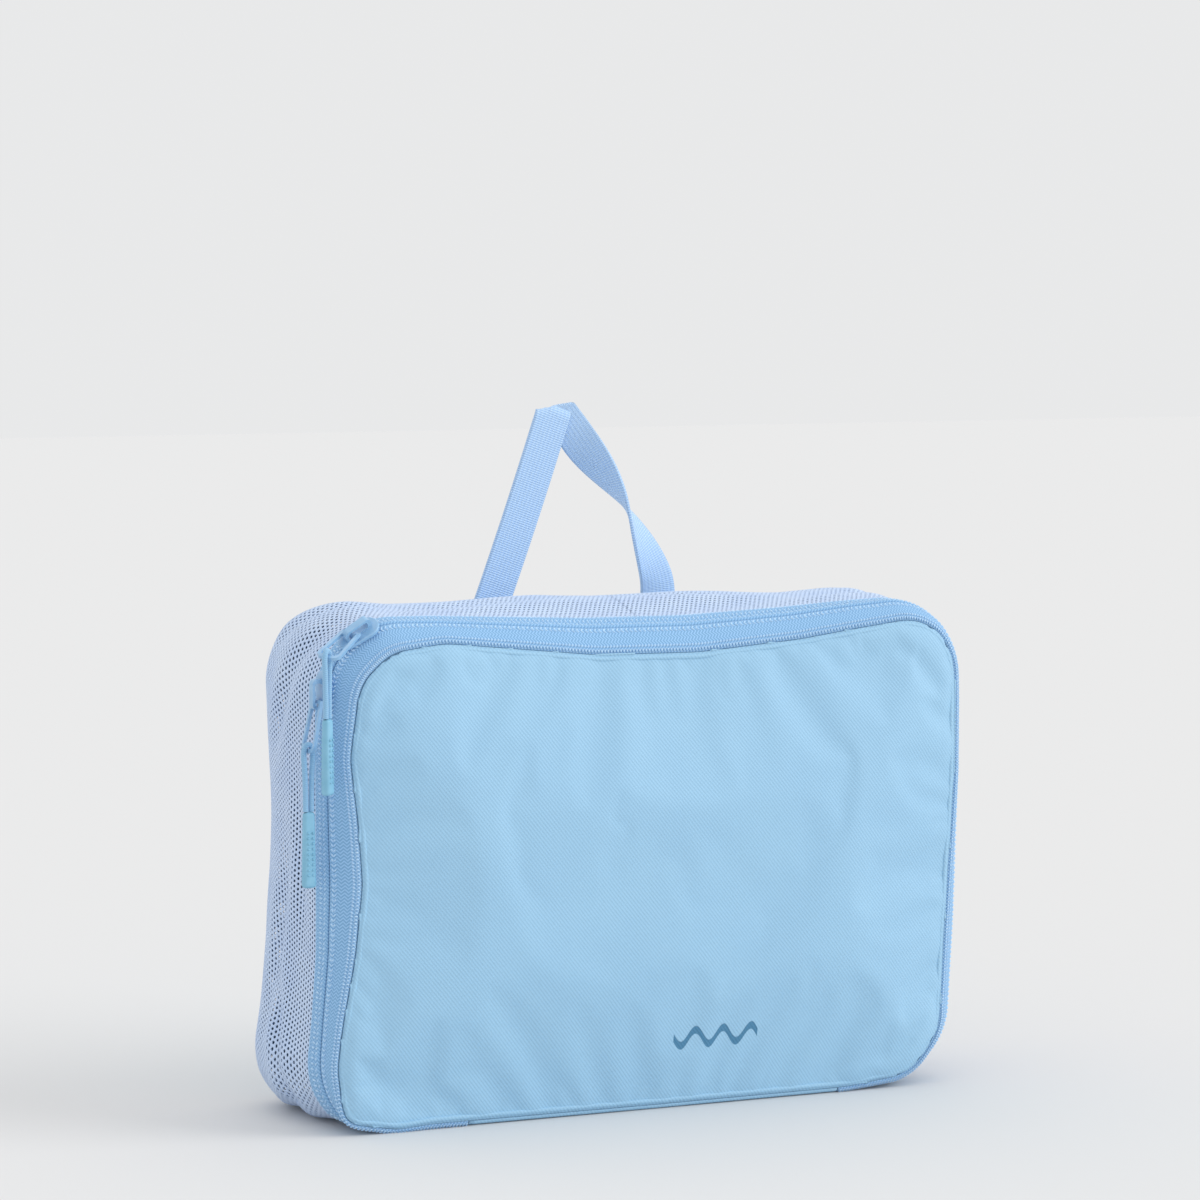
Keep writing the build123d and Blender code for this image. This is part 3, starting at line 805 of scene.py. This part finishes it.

# ---- Seam bindings ----
# Inside the bag, narrow woven tape folds over each raw seam. Outside, a thin dark line of it is
# raised where the panels meet their gussets, as painted shade in the seam.
binding_and_seam_shade = Shader("binding_woven_and_seam_shade", 0.8, "UV").cloth(0.3, 0.2)
binding_rib = binding_and_seam_shade.bands(1.1, "X")
# the binding's dark blue is its own colour inside the bag, and painted seam shade where its edge shows
# outside
binding_and_seam_shade.colour(binding_and_seam_shade.ramp(binding_rib, [(0.0, (0.10, 0.22, 0.38)), (1.0, (0.17, 0.32, 0.50))]))
binding_and_seam_shade.relief(binding_rib, 0.0002, 0.6)
for name, body, rows, lifts in (
    ("front_seam_binding", "flap", (-0.0004, 0.0006, 0.0022, 0.0024, 0.0004, 0.0001),
     (-0.0006, -0.0006, -0.0012, -0.0020, -0.0052, -0.0020)),
    ("gusset_seam_binding", "bag", (MESH_START + 0.0004, MESH_START + 0.005, MESH_START + 0.005,
     MESH_START + 0.0004), (-0.0013, -0.0013, -0.0021, -0.0021)),
    ("back_seam_binding", "bag", (DEEP + 0.0002, DEEP - 0.0004, DEEP - 0.0026, DEEP - 0.0028,
     DEEP - 0.0006, DEEP), (-0.0001, -0.0004, -0.0012, -0.0022, -0.0052, -0.0020)),
):
    count = 860
    u = np.linspace(0, AROUND, count, endpoint=False)[:, None]
    closed_rows = np.array(list(rows) + [rows[0]])[None, :]
    points = skin(u, closed_rows, np.array(list(lifts) + [lifts[0]])[None, :])
    weave = np.stack(np.broadcast_arrays(u * 1000, closed_rows * 1000), -1)
    faces = grid_faces(count, len(rows) + 1, closed=True)
    binding = piece_from(name, points, [face[::-1] for face in faces], weave)
    weld(binding)
    dress(binding, binding_and_seam_shade, body, name)

# ---- Hinge strip ----
# Between the zip's two ends the panel's cloth turns under and is sewn straight to the mesh,
# so the flap folds down about it. It bends where it leaves the bag.
hinge = strip("hinge_strip", -0.0795, 0.0795, [0.0, 0.0006, 0.003, 0.006, 0.010, 0.014, 0.018, rear_far],
              [-0.0014, -0.0002, 0.0, 0.0001, 0.0, 0.0, 0.0001, 0.0002], step=0.003)
thicken(hinge, 0.0006)
hinge.data.materials.append(panel_cloth.material)
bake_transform(hinge)
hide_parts("hinge_strip")

# ---- Zip end tabs ----
# A short piece of the panel's cloth covers each end of the zip, where it meets the hinge
# strip, and lies flat on the tapes.
for name, start in (("zip_end_tab_left", 0.0765), ("zip_end_tab_right", AROUND - 0.0835)):
    tab = strip(name, start, start + 0.007, [0.0075, 0.008, 0.010, 0.0125, 0.015, 0.0172, 0.0177],
                [0.0001, 0.0005, 0.0006, 0.0006, 0.0006, 0.0005, 0.0001], step=0.0008)
    thicken(tab, 0.0006)
    dress(tab, panel_cloth, "bag", name)

# ---- Carry handle ----
# One length of ribbed webbing is sewn into the back seam at both feet. It folds over itself at
# the crown, and its right leg turns half round before it reaches its foot.
WEB_Y = 0.04305
WEB_HALF = 0.0075
FOOT_X = 0.0375
FOOT_Z = 0.185
left_foot = Vector((-FOOT_X, 0, FOOT_Z))
crown = Vector((-0.0060, 0, 0.2725))
turn_at = Vector((0.0240, 0, 0.2325))
leg_up = (crown - left_foot).normalized()
leg_down = (turn_at - crown).normalized()
fold = (leg_up + leg_down).normalized()
leg_long = (crown - left_foot).length
right_foot = Vector((0.0385, 0, FOOT_Z))
down_curve = [crown, crown + leg_down * 0.018, turn_at, Vector((0.0385, 0, 0.2030)), right_foot]


def curve_along(stations, t):
    """A smooth point through the stations, with t counting from the first to the last."""
    k = min(int(t), len(stations) - 2)
    before = stations[max(k - 1, 0)]
    a, b = stations[k], stations[k + 1]
    after = stations[min(k + 2, len(stations) - 1)]
    f = t - k
    return 0.5 * (2 * a + (b - before) * f + (2 * before - 5 * a + 4 * b - after) * f * f
                  + (3 * a - before - 3 * b + after) * f ** 3)


webbing_points, webbing_weave = [], []
CROSS = 9
rows = 0
wide = Vector((leg_up.z, 0, -leg_up.x))
for k in range(48):
    s = leg_long * k / 48
    for j in range(CROSS):
        w = WEB_HALF * (2 * j / (CROSS - 1) - 1)
        p = left_foot + leg_up * s + wide * w
        # the fold line crosses the webbing on a slant, so each thread reaches it in turn
        beyond = (p - crown).dot(Vector((-fold.z, 0, fold.x)))
        shift = 0.0
        if beyond > 0:
            p = p - Vector((-fold.z, 0, fold.x)) * (2 * beyond)
            shift = 0.0017
        sway = 0.0012 * math.sin(math.pi * k / 48)
        webbing_points.append((p.x, WEB_Y - sway + shift, max(p.z, FOOT_Z)))
        webbing_weave.append((s * 1000, w * 1000))
    rows += 1
for k in range(72):
    t = 4 * k / 71
    s = leg_long + 0.118 * k / 71
    here = curve_along(down_curve, t)
    ahead = curve_along(down_curve, min(t + 0.02, 4)) - curve_along(down_curve, max(t - 0.02, 0))
    ahead.normalize()
    flat_wide = Vector((-ahead.z, 0, ahead.x))
    f = min(max((k / 71 - 0.08) / 0.78, 0), 1)
    turned = math.pi * f * f * (3 - 2 * f)
    span = flat_wide * math.cos(turned) + Vector((0, -1, 0)) * math.sin(turned)
    for j in range(CROSS):
        w = WEB_HALF * (2 * j / (CROSS - 1) - 1)
        p = here + span * w
        beyond = (p - crown).dot(Vector((-fold.z, 0, fold.x)))
        if beyond > 0:
            p = p - Vector((-fold.z, 0, fold.x)) * (2 * beyond)
        bow_back = 0.0017 * max(0, 1 - k / 26)
        webbing_points.append((p.x, WEB_Y + p.y + bow_back, max(p.z, FOOT_Z)))
        webbing_weave.append((s * 1000, w * 1000))
    rows += 1
webbing = piece_from("handle_webbing", webbing_points, grid_faces(rows, CROSS), webbing_weave)
soften(webbing)
thicken(webbing, 0.0013, offset=0)
web_weave = Shader("webbing_ribbed", 0.7, "UV").cloth(0.15, 0.25)
web_at = web_weave.split(web_weave.where)
web_rib = web_weave.maths("SINE", web_weave.maths("MULTIPLY", web_at[0], 2 * math.pi / 0.9), 0)
web_row = web_weave.maths("SINE", web_weave.maths("MULTIPLY", web_at[1], 2 * math.pi / 1.7), 0)
web_tone = web_weave.maths("ADD", web_weave.maths("MULTIPLY", web_rib, 0.28), web_weave.maths(
    "ADD", web_weave.maths("MULTIPLY", web_row, 0.12), 0.5))
web_weave.colour(web_weave.ramp(web_tone, [(0.1, (0.37, 0.58, 0.92)), (0.9, (0.56, 0.76, 0.99))]))
web_weave.relief(web_tone, 0.0004, 0.8)
dress(webbing, web_weave, "handle", "handle_webbing")

# ---- Handle bar tacks ----
# A dense zigzag of thread ties each foot of the handle to the back panel, just under the
# back seam.
zigzag = []
for side in (-1, 1):
    for k in range(26):
        x = side * FOOT_X - 0.0068 + 0.0136 * k / 25
        lean = 0.35 if k % 2 else -0.35
        direction = np.array([lean, 0, 1.0])
        direction /= np.linalg.norm(direction)
        zigzag.append((np.array([x, 0.0424, 0.1813]), direction, np.array([0, 1.0, 0])))
tacks = stitches("handle_bartacks", "bag", zigzag, 0.0026, 0.0007, 0.0006)
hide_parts("handle_bartacks")

# ---- Sliders and bails ----
# Two cast zinc sliders, painted to match: an oval plate with a bridge over it, and a ring
# that hangs from the bridge.
slider_paint = Shader("slider_painted_zinc", 0.32)
paint_spots = slider_paint.noise(350, 3)
slider_paint.colour(slider_paint.ramp(paint_spots, [(0.3, (0.24, 0.45, 0.70)), (0.7, (0.29, 0.52, 0.77))]))
slider_paint.relief(slider_paint.noise(1800, 2), 0.00003, 0.5)
slider_paint.surface.inputs["Coat Weight"].default_value = 0.5
slider_paint.surface.inputs["Coat Roughness"].default_value = 0.2
for name in ("side_slider_body", "side_slider_bail", "top_slider_body", "top_slider_bail"):
    node = frame["nodes"][name]
    for slot in node.material_slots:
        slot.material = slider_paint.material

# ---- Pull cords ----
# A thin braided cord loops over each bail's far bar and runs down, doubled, into its grip.
# It hangs from the place that its pull swings about.
braid = Shader("cord_braided", 0.75).cloth(0.4, 0.2)
braid_at = braid.split(braid.where)
braid_twist = braid.maths("SINE", braid.maths("MULTIPLY", braid.maths(
    "ADD", braid_at[2], braid.maths("MULTIPLY", braid_at[1], 0.8)), 2 * math.pi / 0.0007), 0)
braid.colour(braid.ramp(braid.maths("ADD", braid.maths("MULTIPLY", braid_twist, 0.2), 0.5),
                        [(0.1, (0.20, 0.42, 0.66)), (0.9, (0.36, 0.62, 0.86))]))
braid.relief(braid_twist, 0.00006, 0.6)
CORD = 0.0022
ROUTE = [(-0.00125, 0.023), (-0.00125, 0.010), (-0.0024, -0.0024), (0.0024, -0.0024),
         (0.00125, 0.010), (0.00125, 0.023)]
rubber = Shader("grip_rubber", 0.5)
rubber_spots = rubber.noise(260, 4)
rubber.colour(rubber.ramp(rubber_spots, [(0.3, (0.205, 0.475, 0.66)), (0.7, (0.25, 0.53, 0.72))]))
rubber.relief(rubber.noise(2500, 2), 0.00004, 0.6)
swings = {joint["name"]: joint for joint in frame["joints"]}
PULLS = []
for side in ("side", "top"):
    swing = swings[side + "_pull_swing"]
    PULLS.append((side, swing["pos_m"], swing["axis"]))
DOWN = Vector((0, 0, -1))
for side, place, bar in PULLS:
    hung = Vector(place)
    across = Vector(bar).cross(DOWN).normalized()
    line = bpy.data.curves.new(side + "_pull_cord", "CURVE")
    line.dimensions = "3D"
    spline = line.splines.new("NURBS")
    spline.points.add(len(ROUTE) - 1)
    for point, (a, d) in zip(spline.points, ROUTE):
        point.co = (*(hung + across * a + DOWN * d), 1)
    spline.order_u = 3
    spline.use_endpoint_u = True
    spline.resolution_u = 16
    line.bevel_depth = CORD / 2
    line.bevel_resolution = 4
    cord = bpy.data.objects.new(side + "_pull_cord_detail", line)
    scene.collection.objects.link(cord)
    line.materials.append(braid.material)
    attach(cord, side + "_pull")
    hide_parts(side + "_pull_cord")

# ---- Pull grips ----
# A moulded rubber grip closes over each cord's two ends: a slim rounded bar that tapers to
# its top, with two rows of raised dots on each face.
GRIP_LONG = 0.029
GRIP_TOP = 0.02302
for side, place, bar in PULLS:
    hung = Vector(place)
    across = Vector(bar).cross(DOWN).normalized()
    facing = across.cross(DOWN).normalized()
    bpy.ops.object.select_all(action="DESELECT")
    bpy.ops.mesh.primitive_cube_add(size=1)
    grip = bpy.context.object
    grip.name = side + "_pull_grip_detail"
    grip.data.transform(Matrix.Diagonal((0.0055, 0.0036, GRIP_LONG, 1)))
    bpy.ops.object.mode_set(mode="EDIT")
    bpy.ops.mesh.select_all(action="SELECT")
    bpy.ops.mesh.bevel(offset=0.0014, segments=3, affect="EDGES")
    bpy.ops.object.mode_set(mode="OBJECT")
    for vertex in grip.data.vertices:
        taper = 1 - 0.20 * max(0.0, vertex.co.z / (GRIP_LONG / 2)) ** 2
        vertex.co.x *= taper
        vertex.co.y *= taper
    pieces = [grip]
    for face_side in (-1, 1):
        for row in range(9):
            for column in (-1, 1):
                bpy.ops.mesh.primitive_uv_sphere_add(
                    segments=10, ring_count=6, radius=0.00055,
                    location=(column * 0.0010, face_side * 0.00172, -0.0095 + 0.0020 * row))
                pieces.append(bpy.context.object)
    bpy.ops.object.select_all(action="DESELECT")
    for piece in pieces:
        piece.select_set(True)
    bpy.context.view_layer.objects.active = grip
    bpy.ops.object.join()
    bpy.ops.object.shade_smooth_by_angle(angle=math.radians(50))
    middle = hung + DOWN * (GRIP_TOP + GRIP_LONG / 2)
    placing = Matrix((across, facing, -DOWN)).transposed().to_4x4()
    placing.translation = middle
    grip.data.transform(grip.matrix_world)
    grip.matrix_world = Matrix.Identity(4)
    grip.data.transform(placing)
    dress(grip, rubber, side + "_pull", side + "_pull_grip")
